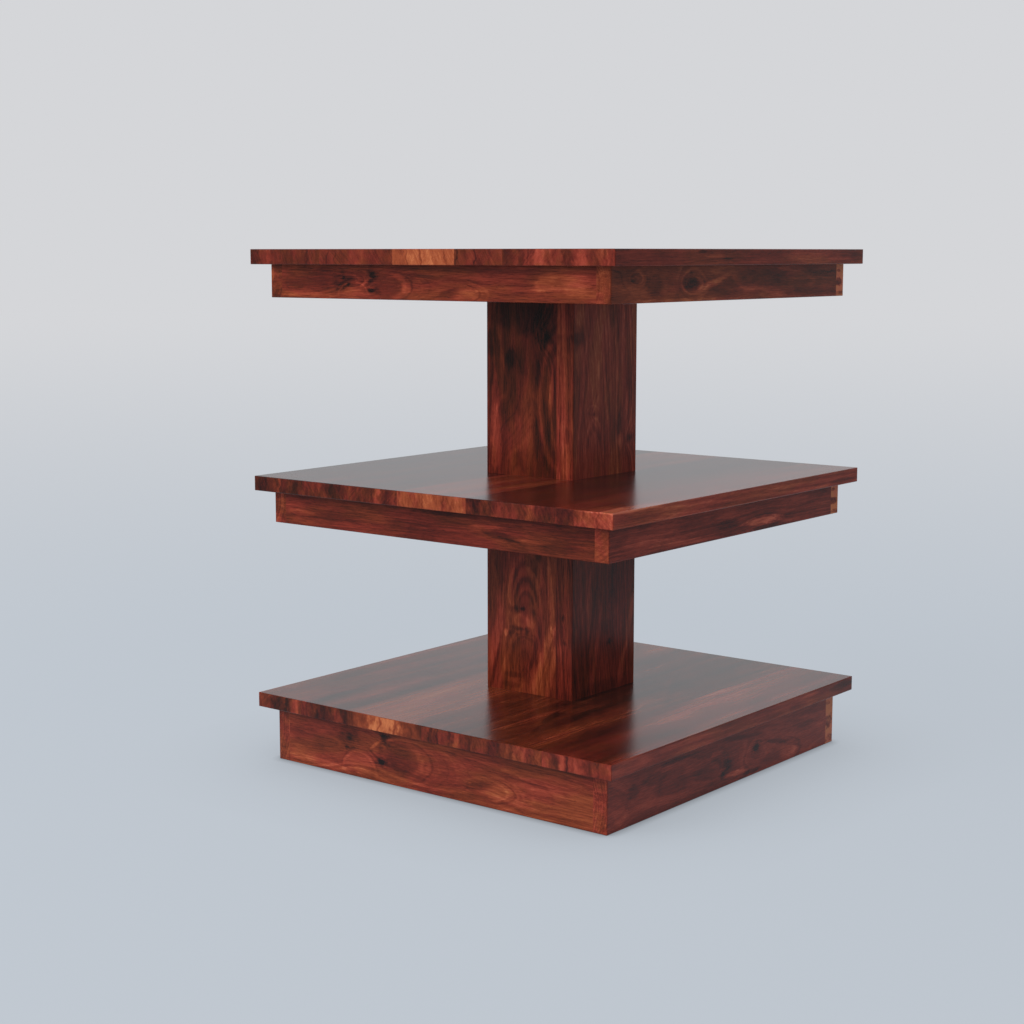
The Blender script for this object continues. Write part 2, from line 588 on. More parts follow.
# %% Figures of the other aprons
FIGURES["top_right_apron"] = {
    "seed": 9.0, "tone": 0.6, "pith": (507.0, 20.0, 0.015), "wander": 10.0, "warmth": 0.4,
    "weights": {"Bands": 0.35, "Lines": 0.45, "Fibre": 0.6}, "end_contrast": -0.2, "end_tone": 0.0,
    "swirls": [(-82, 509, 16, 9, 9), (-176, 513, 12, 6, 6), (-40, 506, 30, 8, 5)],
    "knots": [
        (-82, 510, 14, 8, 2), (-177, 512, 7, 4, 2), (160, 517.6, 22, 3, 1), (186, 517.0, 16, 2.4, 1)],
    "patches": [
        (-82, 509.5, 17, 9, -0.14), (-177, 512, 12, 7, -0.1), (-48, 507, 24, 4, 0.22, 0.18),
        (-32, 512, 20, 3, 0.18, 0.25), (-120, 502, 14, 6, 0.1), (-146, 507, 14, 10, -0.16),
        (-100, 492.5, 110, 1.8, 0.16), (-195, 516, 22, 8, -0.14), (60, 518, 40, 5, -0.12),
        (88, 506, 60, 8, -0.08), (140, 511, 60, 1.5, 0.12), (150, 497, 60, 4, -0.12),
        (90, 521, 14, 2, 0.16), (30, 502, 60, 2, 0.1), (-64, 500, 12, 5, 0.14, 0.2),
        (100, 494, 90, 2, 0.06)],
    "arcs": [
        (-82, 509, 17, 10, UP, 0.3, 0.08), (-82, 509, 17, 10, DOWN, 0.26, 0.05),
        (-82, 509, 18, 10, TO_LOW, 0.3, 0.1), (-82, 509, 25, 15, DOWN, 0.14, -0.08),
        (-176, 513, 12, 7, UP, 0.24, 0.03), (-176, 513, 12, 7, DOWN, 0.24, 0.03),
        (-176, 513, 18, 11, UP, 0.16, -0.08)]}
FIGURES["middle_right_apron"] = {
    "seed": 13.0, "tone": 0.57, "pith": (330.0, 20.0, 0.01), "wander": 8.0, "warmth": -0.8,
    "weights": {"Bands": 0.3, "Lines": 0.42, "Fibre": 0.6}, "end_contrast": -0.3, "end_tone": 0.1,
    "end_warmth": 0.7,
    "swirls": [(55, 268, 26, 6, 4)],
    "patches": [
        (56, 266, 38, 4.4, 0.36), (70, 265, 16, 3, 0.1), (-13, 269.5, 26, 4, -0.16),
        (-150, 272, 50, 5, 0.1), (-140, 266, 40, 2.4, 0.1), (-175, 286, 40, 3, -0.14),
        (60, 258.5, 34, 2.0, -0.22), (112, 266, 14, 4, -0.14), (-80, 261, 50, 2.4, 0.12, -0.04),
        (-110, 257, 40, 1.4, -0.15), (150, 285, 60, 3, -0.08), (115, 260, 20, 1.6, 0.16),
        (10, 278, 50, 3, 0.08)]}
FIGURES["base_right_apron"] = {
    "seed": 17.0, "tone": 0.585, "pith": (26.0, -12.0, 0.03), "wander": 10.0, "warmth": -0.9,
    "weights": {"Bands": 0.3, "Lines": 0.42, "Clouds": 0.45, "Fibre": 0.6}, "end_contrast": 0.1,
    "end_tone": 0.08, "end_warmth": 0.7,
    "swirls": [(54, 22, 24, 10, 6), (-20, 22, 26, 12, -5), (-160, 36, 24, 10, 4)],
    "knots": [(52, 28, 9, 6.4, 2), (-5.5, 22, 9, 8, 2), (-12.6, 12.5, 7, 4, 2)],
    "patches": [
        (-24, 37.5, 12, 2.4, 0.26), (10, 9.5, 22, 2.8, 0.32, -0.05), (52, 24, 12, 9, -0.12),
        (-6, 22, 13, 11, -0.14), (-136, 37, 22, 6, -0.16), (-172, 31.6, 10, 7, -0.2),
        (-100, 47, 30, 2, -0.2), (45, 4.5, 16, 2.4, -0.28), (118, 10, 18, 7, 0.14),
        (-120, 12, 50, 5, 0.1, -0.05), (-18, 32, 16, 6, -0.16), (90, 27, 34, 2.4, -0.14, -0.2),
        (120, 18, 26, 2, -0.12, -0.3), (130, 40, 70, 4, 0.12, -0.03), (-195, 14, 14, 8, 0.14),
        (150, 26, 50, 4, 0.12), (-60, 25, 30, 3, -0.1, -0.1), (30, 44, 50, 2.4, -0.1, -0.08),
        (-30, 8, 20, 3, -0.1), (80, 10, 24, 6, -0.08), (52, 28, 6, 4.6, -0.2)],
    "arcs": [(70, 10, 74, 20, UP, 0.07, -0.14), (70, 10, 62, 16, UP, 0.1, 0.06)]}
LEFT_END_TONES = {"top": -0.12, "middle": -0.04, "base": 0.03}
APRON_MIDDLES = {"top": 508, "middle": 273, "base": 29}
HALF_HEIGHTS = {"top": 17, "middle": 17, "base": 29}
BACK_EDGE = 215
for tray, middle in APRON_MIDDLES.items():
    half = HALF_HEIGHTS[tray]
    FIGURES[tray + "_left_apron"] = {
        "seed": 25.0 + middle / 100, "tone": 0.52, "warmth": 0.1, "end_tone": LEFT_END_TONES[tray],
        "pith": (middle + 30.0, 10.0, 0.02)}
    FIGURES[tray + "_back_apron"] = {
        "seed": 21.0 + half, "tone": 0.6, "pith": (middle - 90.0, 4.0, 0.01), "wander": 6.0,
        "end_tone": 0.52, "warmth": 0.4, "weights": {"Bands": 0.6}, "end_contrast": -0.2,
        "end_mottle": 0.8,
        "patches": [
            (BACK_EDGE, middle + 0.58 * half, 40, 0.10 * half, -0.45, 0, -4, 5),
            (BACK_EDGE, middle - 0.12 * half, 40, 0.26 * half, -0.55, 0, -3, 9),
            (BACK_EDGE, middle - 0.80 * half, 40, 0.12 * half, -0.3),
            (-BACK_EDGE, middle, 60, 2.0 * half, -0.3)]}
print("figures so far:", len(FIGURES))

# %% [markdown]
# The lower column's front has the clearest figure of all, nested arches over two rows of small knots. The
# upper column is darker, and a light arc bends round its right side. The right boards also show as a
# narrow strip on the column's front, at the place across that is their front edge.

# %% Figures of the columns
FRONT_EDGE = -57
FIGURES["lower_column_front"] = {
    "seed": 2.0, "tone": 0.535, "pith": (-4.0, 16.0, 0.03), "wander": 9.0, "warmth": 0.1,
    "weights": {"Bands": 0.25, "Lines": 0.35, "Clouds": 0.45, "Fibre": 0.6},
    "swirls": [(176, -3, 46, 17, 10)],
    "knots": [
        (163.5, -19.5, 5, 10, 2), (164, -9, 2.6, 8, 0), (161, 6, 6, 6, 2), (142, -12, 4, 16, 2),
        (135.5, -22, 6, 8, 1), (139.5, -2, 4.4, 6, 1)],
    "patches": [
        (210, -38, 26, 8, -0.16), (222, 4, 7, 16, -0.14), (190, -29, 36, 2, -0.12, 0.15),
        (188, -23, 36, 1.8, 0.1, 0.13), (152, 2, 11, 6, 0.13), (196, 15, 8, 5, 0.1),
        (180, 29, 40, 3.6, 0.2, -0.08), (139, 27, 12, 6, 0.1, 0.2), (136, -31, 4, 3.2, 0.26),
        (104, 17, 40, 8, 0.16, 0.34), (106, 15, 36, 3, 0.07, 0.34), (110, 23, 30, 1.6, -0.12, 0.34),
        (100, 30, 34, 4, 0.14, 0.24), (125, -46, 45, 6, 0.14, 0.25), (90, -36, 24, 3, 0.14, 0.3),
        (96, -46, 26, 2.6, -0.16, 0.25), (108, -12, 26, 15, -0.13), (91, -22, 3.4, 12, -0.1),
        (80, -24, 3.4, 14, -0.08), (150, -14, 9, 12, 0.06), (124, 9, 30, 3, -0.1, 0.3),
        (215, 18, 20, 5, -0.06), (180, -50, 60, 5, -0.06)],
    "arcs": [
        (158, -3, 56, 22, UP, 0.1, -0.12), (158, -3, 47, 19, UP, 0.12, 0.1),
        (160, -4, 36, 16, UP, 0.14, -0.14), (160, -3, 27, 13, UP, 0.14, 0.07),
        (160, -4, 21, 11, UP, 0.2, -0.1), (158, -2, 66, 27, UP, 0.07, 0.08)]}
FIGURES["upper_column_front"] = {
    "seed": 3.0, "tone": 0.42, "pith": (-10.0, 26.0, 0.03), "wander": 12.0, "warmth": 0.0,
    "weights": {"Bands": 0.3, "Lines": 0.4, "Fibre": 0.5},
    "swirls": [(400, -20, 40, 16, 10), (452, 18, 16, 10, 8)],
    "knots": [(452, 20, 12, 12, 3)],
    "patches": [
        (478, -8, 26, 40, -0.18), (462, 20, 20, 14, -0.12), (453, 16, 5, 3, 0.25),
        (443, -50, 14, 8, -0.16), (428, -25, 12, 6, -0.18), (412, 8, 16, 6, -0.12),
        (425, -36, 40, 3, 0.14), (455, -38, 12, 2.6, 0.12), (447, -24, 12, 1.6, 0.1),
        (345, -44, 34, 7, 0.24), (390, -45, 24, 5, 0.14), (395, -10, 20, 8, 0.1), (352, -8, 24, 12, 0.12),
        (345, -24, 26, 6, 0.08), (362, 26, 16, 3, -0.14), (388, 28, 22, 3, 0.14, 0.1),
        (380, 33, 50, 2, -0.14), (345, 8, 22, 5, -0.1)],
    "arcs": [
        (384, 44, 72, 30, TO_LOW, 0.1, 0.13), (384, 44, 80, 36, TO_LOW, 0.08, -0.08),
        (384, 44, 62, 24, TO_LOW, 0.1, -0.08), (384, 46, 56, 19, TO_LOW, 0.12, 0.08)]}
FIGURES["lower_column_right"] = {
    "seed": 6.0, "tone": 0.43, "pith": (-90.0, 30.0, 0.05), "wander": 9.0, "warmth": -0.3,
    "weights": {"Bands": 0.35, "Lines": 0.5},
    "swirls": [(170, 6, 50, 14, 6)],
    "knots": [(126, 10, 4, 6, 2), (160, FRONT_EDGE, 4, 5, 2, -1, 3), (134, FRONT_EDGE, 4, 5, 2, 1, 3)],
    "patches": [
        (190, 20, 26, 14, -0.12), (143, 5, 9, 9, -0.12), (190, -26, 35, 2.5, 0.1, 0.18),
        (155, -21, 40, 2.5, -0.14, 0.2), (130, -12, 50, 4, 0.16, 0.18), (142, 47, 40, 4, 0.18, 0.25),
        (95, 34, 22, 6, 0.15, 0.3), (78, 0, 9, 34, -0.1), (110, -46, 50, 5, 0.05),
        (170, FRONT_EDGE, 60, 8, 0.08, 0, 2, 3), (110, FRONT_EDGE, 40, 8, 0.1, 0, -5, 3)]}
FIGURES["upper_column_right"] = {
    "seed": 8.0, "tone": 0.66, "pith": (-90.0, 40.0, 0.04), "wander": 10.0, "warmth": -0.25,
    "weights": {"Bands": 0.35, "Lines": 0.5},
    "swirls": [(343, 41, 14, 8, 7), (371, -24, 14, 8, 5)],
    "knots": [(342, 43, 7, 11, 2), (371, -22, 3, 7, 1)],
    "patches": [
        (420, FRONT_EDGE, 120, 3.4, -0.12), (470, -46, 9, 8, 0.12), (450, -48, 7, 10, -0.14),
        (430, -46, 15, 10, 0.13), (400, -40, 60, 2.6, 0.13, 0.14), (400, -1, 55, 1.8, 0.14, -0.14),
        (400, 4, 55, 2.0, -0.1, -0.14), (415, -12, 12, 2, 0.14), (440, 31, 46, 3, 0.15),
        (365, 38, 28, 3, 0.2), (360, 24, 13, 5, -0.17), (475, 12, 14, 7, -0.13), (452, 21, 9, 4, -0.12),
        (340, 28, 9, 5, 0.2), (362, 47, 13, 3, 0.14), (450, FRONT_EDGE, 80, 8, -0.1, 0, 4, 3),
        (400, FRONT_EDGE, 80, 8, 0.14, 0, -9, 2), (350, FRONT_EDGE, 24, 8, 0.14, 0, -3, 3),
        (350, FRONT_EDGE, 10, 8, -0.2, 0, 3, 3)],
    "arcs": [
        (322, -20, 44, 17, UP, 0.1, 0.09), (322, -20, 34, 13, UP, 0.16, -0.09),
        (371, -22, 9, 12, UP, 0.2, 0.07)]}
print("figures so far:", len(FIGURES))

# %% [markdown]
# Each panel is six staves side by side, light and dark by turns. Their front ends show as a band of short
# upright streaks. The streaks are listed from left to right for a whole panel, and each stave takes those
# that fall on it. Where a stave shows little, a shared set of weights says how lively its grain is.

# %% Tones and streaks of the staves
STAVE_TONES = {
    "top": (0.41, 0.44, 0.74, 0.44, 0.44, 0.55),
    "middle": (0.25, 0.28, 0.32, 0.6, 0.35, 0.55),
    "base": (0.42, 0.39, 0.68, 0.41, 0.41, 0.55),
}
STAVE_PITHS = (
    (-320, 10, 0.02), (-240, 30, 0.03), (300, -30, -0.02), (-190, -20, 0.02), (260, 20, 0.03),
    (220, 30, -0.02))
FRONT_STREAKS = {
    "top": [
        (-224, 9, -0.16), (-204, 4, 0.12), (-178, 20, -0.1), (-166, 4, 0.08), (-148, 1.5, -0.12),
        (-120, 1.2, -0.14), (-110, 1.5, -0.1), (-75, 8, 0.08), (-60, 9, -0.06), (-42, 7, -0.1),
        (-24, 7, -0.1), (-15, 1.2, -0.14), (3, 1.6, -0.2), (14, 5, 0.08), (6, 20, 0.05), (33, 1.2, -0.16),
        (47, 1.6, -0.2), (64, 4, 0.1), (70, 1.2, -0.2), (85, 12, -0.05), (108, 14, -0.14),
        (126, 5, -0.18), (134, 1.2, -0.12), (149, 9, 0.28), (161, 3, 0.1), (177, 8, -0.22),
        (194, 6, 0.14), (208, 6, -0.08), (221, 2, -0.14), (226, 2, -0.1)],
    "middle": [
        (-216, 14, -0.1), (-194, 2, 0.14), (-183, 5, 0.06), (-171, 5, -0.06), (-147, 14, 0.06),
        (-115, 14, -0.08), (-92, 5, 0.08), (-57, 5, 0.26), (-45, 5, -0.12), (-34, 3, 0.12),
        (2, 1.4, -0.16), (6, 8, 0.08), (30, 1.4, -0.14), (48, 7, 0.06), (68, 10, -0.18), (84, 6, -0.06),
        (98, 5, 0.05), (116, 6, 0.06), (136, 6, 0.16), (154, 4, -0.12), (160, 5, -0.02), (176, 12, -0.34),
        (196, 1.4, -0.12), (204, 12, 0.12), (212, 1.4, -0.14)],
    "base": [
        (-224, 5, 0.06), (-200, 14, -0.22), (-186, 5, -0.16), (-175, 6, 0.22), (-160, 5, -0.06),
        (-149, 6, -0.02), (-134, 12, -0.2), (-116, 5, 0.06), (-104, 8, -0.14), (-84, 6, 0.06),
        (-50, 26, 0.36), (-56, 1.6, -0.18), (-36, 1.6, -0.14), (-16, 4, -0.08), (-8, 7, 0.12),
        (20, 34, 0.05), (11, 3, -0.2), (18, 3, -0.1), (21, 1.6, -0.2), (37, 2.6, -0.12), (46, 5, 0.2),
        (62, 4, -0.14), (75, 6, 0.06), (92, 9, -0.15), (108, 3, 0.12), (118, 4, 0.14), (127, 6, 0.14),
        (136, 2, -0.1), (146, 4, 0.14), (163, 6, -0.18), (172, 4, 0.26), (179, 1.4, -0.2), (192, 8, 0.08),
        (204, 8, -0.12), (214, 1.6, -0.1)],
}
CALM = {"Bands": 0.3, "Lines": 0.2, "Fibre": 0.24, "Clouds": 0.5}
MILD = {"Bands": 0.4, "Lines": 0.3, "Fibre": 0.45, "Clouds": 0.6}
STREAKY = {"Bands": 0.5, "Lines": 0.45, "Fibre": 0.75, "Clouds": 0.6}
LIVELY = {"Bands": 0.6, "Lines": 0.45, "Fibre": 0.95, "Clouds": 0.6}
USUAL = {"Bands": 0.35, "Lines": 0.42, "Fibre": 0.5, "Clouds": 0.4}
STAVE_WEIGHTS = {"base_stave_1": STREAKY, "base_stave_2": STREAKY, "base_stave_3": CALM,
                 "base_stave_4": LIVELY, "base_stave_5": LIVELY, "base_stave_6": MILD}
print("streaks on the front edges:", {tray: len(streaks) for tray, streaks in FRONT_STREAKS.items()})

# %% [markdown]
# The patches of the staves lie on the tops and on the right edge of the sixth stave. That edge is thin,
# so the patches on it also say where they are through the board.

# %% Figures of the staves
RIGHT_EDGE = 231
STAVE_PATCHES = {
    "middle_stave_6": [
        (-150, 222, 110, 12, 0.1), (0, RIGHT_EDGE, THROUGH, 6, 0.14), (-190, 224, 70, 14, 0.26, 0, 9, 3),
        (-195, RIGHT_EDGE, 40, 6, -0.14, 0, -2.5, 5), (192, RIGHT_EDGE, 26, 6, -0.14, 0, -3.5, 3),
        (-90, RIGHT_EDGE, 50, 6, 0.08, 0, 3, 2), (60, RIGHT_EDGE, 70, 6, 0.08, 0, 1, 2),
        (-20, RIGHT_EDGE, 60, 6, -0.07, 0, -4, 2), (120, RIGHT_EDGE, 50, 6, 0.08, 0, -5, 2),
        (-220, 208, 30, 20, 0.2, 0, 9, 3)],
    "top_stave_6": [
        (0, RIGHT_EDGE, THROUGH, 6, -0.07), (-195, RIGHT_EDGE, 26, 6, 0.1, 0, 3, 5),
        (-65, RIGHT_EDGE, 26, 6, 0.2, 0, 1, 2), (-43, RIGHT_EDGE, 11, 6, -0.2, 0, -1.5, 1.2),
        (-30, RIGHT_EDGE, 6, 6, -0.12, 0, -4, 1), (-88, RIGHT_EDGE, 8, 6, -0.25, 0, 5, 1.5),
        (140, RIGHT_EDGE, 60, 6, 0.1, 0, -2, 1.5), (216, RIGHT_EDGE, 14, 6, -0.12, 0, 0, 5),
        (60, RIGHT_EDGE, 60, 6, -0.06, 0, 3, 3)],
    "base_stave_1": [(0, -210, 230, 16, -0.06), (0, -178, 180, 7, 0.1)],
    "base_stave_2": [(-150, -84, 120, 14, 0.04)],
    "base_stave_3": [
        (-150, -99, 130, 7, -0.14), (-170, -62, 120, 30, 0.06), (-170, -36, 110, 6, 0.05),
        (-160, -50, 90, 3, -0.05), (-120, -3, 130, 14, -0.24), (110, -50, 120, 60, -0.24)],
    "base_stave_4": [
        (-75, 52, 60, 5, -0.08), (-40, 33, 120, 4, 0.06), (-60, 14, 130, 5, -0.12),
        (150, 30, 70, 3, 0.08, -0.4), (110, 44, 70, 3, -0.06, -0.5)],
    "base_stave_5": [
        (-150, 68, 52, 5, 0.2), (-124, 80, 26, 4, -0.34, -0.33), (-112, 78, 12, 9, -0.16),
        (-150, 92, 34, 2, -0.16, -0.3), (-130, 131, 70, 7, 0.16), (-90, 113, 60, 5, 0.1),
        (-160, 104, 60, 4, -0.08), (150, 146, 90, 5, 0.16), (80, 88, 70, 4, 0.1, -0.5),
        (60, 106, 70, 4, -0.08, -0.5), (110, 80, 80, 3, 0.08, -0.45), (-20, 120, 50, 5, 0.1, -0.2)],
    "base_stave_6": [
        (150, 157, 100, 9, 0.2), (130, 154, 90, 5, 0.1), (40, 158, 60, 5, 0.12, -0.06),
        (-150, 190, 80, 44, -0.1), (130, 200, 110, 34, 0.08), (0, RIGHT_EDGE, THROUGH, 6, 0.06),
        (-205, RIGHT_EDGE, 32, 6, 0.14, 0, 1, 9), (-120, RIGHT_EDGE, 60, 6, 0.12, 0, 3, 3),
        (112, RIGHT_EDGE, 20, 6, -0.16, 0, -3, 4), (206, RIGHT_EDGE, 26, 6, -0.18, 0, 1, 4),
        (140, RIGHT_EDGE, 16, 6, 0.14, 0, 4, 2), (-20, RIGHT_EDGE, 60, 6, 0.06, 0, -4, 2)],
}
STAVE_KNOTS = {"base_stave_5": [(-118, 79, 14, 5, 5)]}
STAVE_WARMTHS = {"base_stave_3": 0.5, "base_stave_4": 0.5, "base_stave_5": 0.5, "base_stave_6": -0.3,
                 "middle_stave_6": -0.3, "top_stave_6": -0.3}
STAVE_END_WARMTHS = {"top_stave_3": 1.0, "middle_stave_4": 0.4, "base_stave_3": 0.5,
                     "base_stave_4": -0.5, "base_stave_5": -0.5}
STAVE_END_TONES = {"top": 0.05, "middle": 0.09, "base": 0.05}
LIGHT_STAVE_END_TONE = -0.15
LONG_RAGGED = ((0.014, 0.11, 0.1), 2.0)
FIRST_STAVE_SEED = 30.0
STAVES = 6
for tray_number, (tray, tones) in enumerate(STAVE_TONES.items()):
    for number, tone in enumerate(tones):
        name = f"{tray}_stave_{number + 1}"
        low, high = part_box(name)
        left, right = low[0] * MM_PER_METRE, high[0] * MM_PER_METRE
        across, through, lean = STAVE_PITHS[(number + 2 * tray_number) % STAVES]
        FIGURES[name] = {
            "seed": FIRST_STAVE_SEED + STAVES * tray_number + number, "tone": tone, "wander": 8.0,
            "wave": 12.0, "pith": ((left + right) / 2 + across, through, lean), "ragged": LONG_RAGGED,
            "weights": STAVE_WEIGHTS.get(name, USUAL), "warmth": STAVE_WARMTHS.get(name, 0.0),
            "patches": STAVE_PATCHES.get(name, []), "knots": STAVE_KNOTS.get(name, []),
            "end_streaks": [streak for streak in FRONT_STREAKS[tray] if left <= streak[0] < right],
            "end_tone": LIGHT_STAVE_END_TONE if name == "base_stave_3" else STAVE_END_TONES[tray],
            "end_contrast": -0.65 if tray == "base" else -0.45,
            "end_mottle": 0.3 if tray == "top" else 0.5,
            "end_warmth": STAVE_END_WARMTHS.get(name, 0.0),
            "top_coat": 0.18 if tray == "middle" else 0.22}
print("figures in all:", len(FIGURES))

# %% [markdown]
# The photograph hides the left and the back boards and most of the tops, so swirls, knots and patches
# are invented for them by chance. Their sizes, pushes and amounts are drawn from the ranges below. Each
# draw starts from a fixed seed, so every run gives the same wood. The order of a board's axes says which
# way its grain runs: along, across and through the board.

# %% Invent what the photograph hides
SWIRL_RANGES = ((24, 60), (8, 14), (5, 14))
KNOT_RANGES = ((8, 16), (5, 9), (3, 5))
SWIRL_COUNTS = (1, 2, 2, 3)
KNOT_COUNTS = (0, 0, 1, 1, 2)
PATCH_COUNT = 5
PATCH_LENGTH = (0.1, 0.3)
PATCH_WIDTH = (0.06, 0.2)
PATCH_LEAN = (-0.03, 0.03)
PATCH_AMOUNTS = (-0.12, -0.08, 0.08, 0.12)
END_SHARE = 0.12
TONE_RANGE = (0.44, 0.54)
PITH_ACROSS = (-1.2, 1.2)
PITH_DEPTH = (10, 40)
PITH_LEAN = 0.02
INVENTED_WEIGHTS = {"Bands": 0.4, "Lines": 0.45, "Fibre": 0.6}
FIRST_SEED = 50


def grain_order(name):
    if "stave" in name:
        return "YXZ"
    if "apron" in name:
        return "XZY" if "front" in name or "back" in name else "YZX"
    return "ZXY" if "front" in name or "back" in name else "ZYX"


def board_spans(name):
    """Where a board starts and ends along its grain and across it, in millimetres."""
    low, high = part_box(name)
    axes = ["XYZ".index(letter) for letter in grain_order(name)[:2]]
    return [(low[axis] * MM_PER_METRE, high[axis] * MM_PER_METRE) for axis in axes]


def invent_figure(name, seed):
    chance = random.Random(seed)
    (start, end), (left, right) = board_spans(name)
    long, wide = end - start, right - left

    def spot():
        clear = END_SHARE * long
        return chance.uniform(start + clear, end - clear), chance.uniform(left, right)

    def bends(counts, ranges):
        return [(*spot(), *(chance.uniform(*limits) for limits in ranges))
                for _ in range(chance.choice(counts))]

    swirls = bends(SWIRL_COUNTS, SWIRL_RANGES)
    knots = bends(KNOT_COUNTS, KNOT_RANGES)
    patches = []
    for _ in range(PATCH_COUNT):
        place = spot()
        size = (chance.uniform(*PATCH_LENGTH) * long, chance.uniform(*PATCH_WIDTH) * wide)
        lean = chance.uniform(*PATCH_LEAN)
        patches.append((*place, *size, chance.choice(PATCH_AMOUNTS), lean))
    tone = chance.uniform(*TONE_RANGE)
    pith_across = (left + right) / 2 + chance.uniform(*PITH_ACROSS) * wide
    return {"seed": seed, "tone": tone, "swirls": swirls, "knots": knots, "patches": patches,
            "weights": INVENTED_WEIGHTS, "pith": (pith_across, chance.uniform(*PITH_DEPTH), PITH_LEAN)}


tried = invent_figure("top_stave_1", FIRST_SEED)
print("invented for one stave:", {kind: len(tried[kind]) for kind in ("swirls", "knots", "patches")})

# %% [markdown]
# Each board now takes its own figure. The top panel's surface can't be seen at all, so it gets all that
# was invented for it. The lower panels get only faint patches besides their own.

# %% Dress the boards
LACQUER_ROUGHNESS = 0.24
LACQUER_IOR = 1.3
FAINT = 0.4
WOOD_RAMP = (
    (0.00, (0.007, 0.004, 0.003)),
    (0.20, (0.034, 0.0075, 0.0045)),
    (0.40, (0.095, 0.0150, 0.0070)),
    (0.60, (0.190, 0.0300, 0.0130)),
    (0.80, (0.320, 0.0610, 0.0260)),
    (1.00, (0.540, 0.1450, 0.0640)),
)


def dress_board(name, figure, *finish):
    order = grain_order(name)
    low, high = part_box(name)
    depth = "XYZ".index(order[2])
    data = nodes[name].data
    data.materials.clear()
    data.materials.append(board_wood(name, order, (low[depth] + high[depth]) / 2, figure, *finish))


def stave_figure(name, invented):
    """A stave's own figure together with what was invented for it."""
    own = FIGURES[name]
    if "top" in name:
        return {**own, "patches": own["patches"] + invented["patches"],
                "swirls": invented["swirls"], "knots": invented["knots"]}
    fainter = [(*size, FAINT * amount, lean) for *size, amount, lean in invented["patches"]]
    return {**own, "patches": own["patches"] + fainter}


lacquered = [name for name in nodes if "stave" in name or "apron" in name
             or ("column" in name and "block" not in name)]
for number, name in enumerate(sorted(lacquered)):
    invented = invent_figure(name, FIRST_SEED + number)
    if "stave" in name:
        figure = stave_figure(name, invented)
    elif "left" in name or "back" in name:
        figure = {**invented, **FIGURES.get(name, {})}
    else:
        figure = FIGURES[name]
    dress_board(name, figure, WOOD_RAMP, LACQUER_ROUGHNESS, LACQUER_IOR)
print("lacquered boards:", len(lacquered))

# %% [markdown]
# The mounting plates, the glue blocks in the corners and the blocks inside the columns are plain hardwood
# that nobody polishes. They could have a material of their own, but the same wood with a paler ramp and a
# dull surface does it, without figures.

# %% Dress the inner wood
BARE_RAMP = (
    (0.00, (0.060, 0.026, 0.012)),
    (0.30, (0.170, 0.080, 0.038)),
    (0.50, (0.270, 0.140, 0.070)),
    (0.75, (0.400, 0.230, 0.125)),
    (1.00, (0.560, 0.380, 0.230)),
)
BARE_ROUGHNESS = 0.62
BARE_IOR = 1.4
FIRST_BARE_SEED = 90.0
inner = sorted(name for name in nodes if "plate" in name and "screws" not in name or "block" in name)
for number, name in enumerate(inner):
    figure = {"seed": FIRST_BARE_SEED + number, "tone": 0.5, "pith": (60.0 * (-1) ** number, 50.0, 0.02)}
    dress_board(name, figure, BARE_RAMP, BARE_ROUGHNESS, BARE_IOR)
print("pieces of inner wood:", inner)

# %% [markdown]
# Steel screws hold the plates, the columns and the glue blocks. Their heads show when the table is turned
# over. Typed places would come apart from the model when a size changes, so they are read from it. Its
# loose triangles are merged in a copy, the copy is split into screws in the order of its points, and each
# screw's place, direction and length are measured.

# %% Measure the screws
SAME_POINT = 1e-6
SAME_LEVEL = 1e-5


def split_islands(mesh):
    """The corner points of each separate solid in a mesh of loose triangles."""
    copy = bmesh.new()
    copy.from_mesh(mesh)
    bmesh.ops.remove_doubles(copy, verts=copy.verts, dist=SAME_POINT)
    left = set(copy.verts)
    islands = []
    for first in copy.verts:
        if first not in left:
            continue
        left.remove(first)
        todo = [first]
        island = []
        while todo:
            vert = todo.pop()
            island.append(vert.co.copy())
            for edge in vert.link_edges:
                other = edge.other_vert(vert)
                if other in left:
                    left.remove(other)
                    todo.append(other)
        islands.append(island)
    copy.free()
    return islands


def measure_screw(points):
    """Where the face of a screw's head is, which way the screw points, and how long it is."""
    low = Vector(min(point[axis] for point in points) for axis in range(3))
    high = Vector(max(point[axis] for point in points) for axis in range(3))
    size = high - low
    axis = max(range(3), key=lambda number: size[number])
    at_low = sum(point[axis] < low[axis] + SAME_LEVEL for point in points)
    at_high = sum(point[axis] > high[axis] - SAME_LEVEL for point in points)
    direction = Vector(ORIGIN)
    direction[axis] = 1.0 if at_low > at_high else -1.0
    place = (low + high) / 2
    place[axis] = low[axis] if at_low > at_high else high[axis]
    return place, direction, round(size[axis], 4)


screws = {name: [measure_screw(points) for points in split_islands(nodes[name].data)]
          for name in sorted(nodes) if "screws" in name}
for name, found in screws.items():
    lengths = sorted({round(length * MM_PER_METRE, 1) for _, _, length in found})
    print(name, len(found), "screws, lengths in mm:", lengths)

# %% [markdown]
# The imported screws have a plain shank, so they are made again here. All of them are one shape, so
# Geometry Nodes make it once and put it on every point. The shape is a countersunk head with a cross
# recess, a core with a pointed tip, and a spiral thread. Its sizes, in metres, are the tree's named
# inputs. This cell starts the tree and makes the parts that are round.

# %% Start the screw tree
SCREW_SIZES = {"Length": 0.030, "Head": 0.008, "Head Height": 0.0024, "Shank": 0.004, "Core": 0.0029,
               "Tip": 0.004, "Pitch": 0.0022, "Recess": 0.0044, "Recess Width": 0.0009,
               "Recess Depth": 0.0013}
SCREW_SEED = 5
SCREW_SIDES = 20
NECK_SHARE = 0.3


